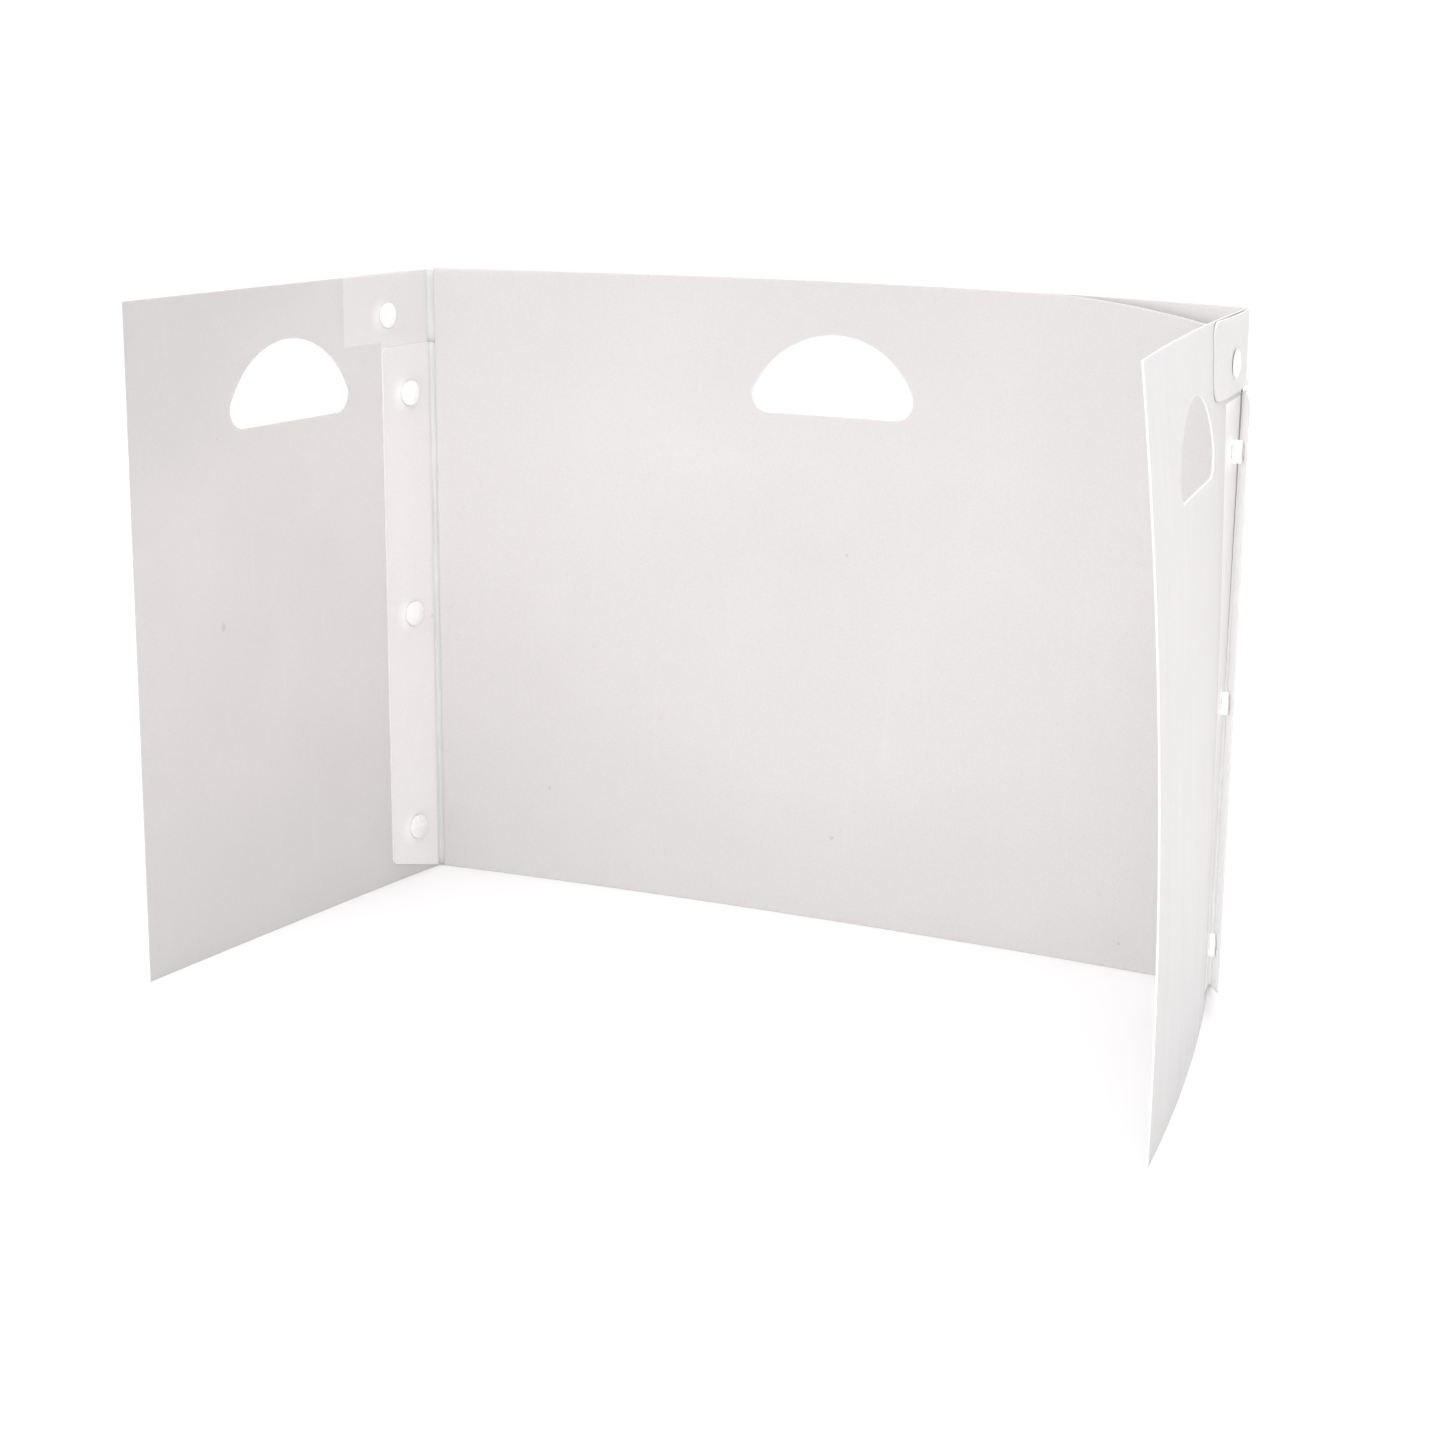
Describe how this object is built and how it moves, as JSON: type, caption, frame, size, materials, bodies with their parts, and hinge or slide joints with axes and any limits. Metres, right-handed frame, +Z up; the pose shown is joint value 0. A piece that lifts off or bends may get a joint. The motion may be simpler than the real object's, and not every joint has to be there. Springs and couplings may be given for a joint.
{
  "type": "sneeze guard",
  "caption": "Free-standing three-panel folding guard of frosted plastic sheet with half-moon hand-holes and riveted, creased corners.",
  "frame": {"origin": "on the counter, at the middle of the back panel's bottom edge", "axes": "+X along the back panel to the user's right as they face it, +Y to the rear, away from the user, +Z up"},
  "size_m": [0.6975, 0.3745, 0.457],
  "materials": {
    "frosted_sheet": "frosted translucent polypropylene, fine matte grain",
    "rivet": "white moulded nylon, semi-gloss"
  },
  "bodies": {
    "back": {"back_panel": "frosted_sheet", "outer_back": "frosted_sheet"},
    "left_side": {"left_side_panel": "frosted_sheet", "left_inner_flange": "frosted_sheet", "left_outer_flange": "frosted_sheet", "left_corner_tab": "frosted_sheet", "left_rivet_post_1": "rivet", "left_rivet_post_2": "rivet", "left_rivet_post_3": "rivet", "left_rivet_post_4": "rivet", "left_rivet_cap_1": "rivet", "left_rivet_cap_2": "rivet", "left_rivet_cap_3": "rivet", "left_rivet_cap_4": "rivet", "left_spacer_2": "rivet", "left_spacer_3": "rivet", "left_spacer_4": "rivet"},
    "right_side": {"right_side_panel": "frosted_sheet", "right_inner_flange": "frosted_sheet", "right_outer_flange": "frosted_sheet", "right_corner_tab": "frosted_sheet", "right_rivet_post_1": "rivet", "right_rivet_post_2": "rivet", "right_rivet_post_3": "rivet", "right_rivet_post_4": "rivet", "right_rivet_cap_1": "rivet", "right_rivet_cap_2": "rivet", "right_rivet_cap_3": "rivet", "right_rivet_cap_4": "rivet", "right_spacer_2": "rivet", "right_spacer_3": "rivet", "right_spacer_4": "rivet"}
  },
  "joints": [
    {"name": "left_fold", "type": "hinge", "parent": "back", "child": "left_side", "pos_m": [-0.3035, -0.011, 0], "axis": [0, 0, 1], "range_deg": [-80, 72]},
    {"name": "right_fold", "type": "hinge", "parent": "back", "child": "right_side", "pos_m": [0.3035, -0.011, 0], "axis": [0, 0, -1], "range_deg": [-80, 72]}
  ]
}
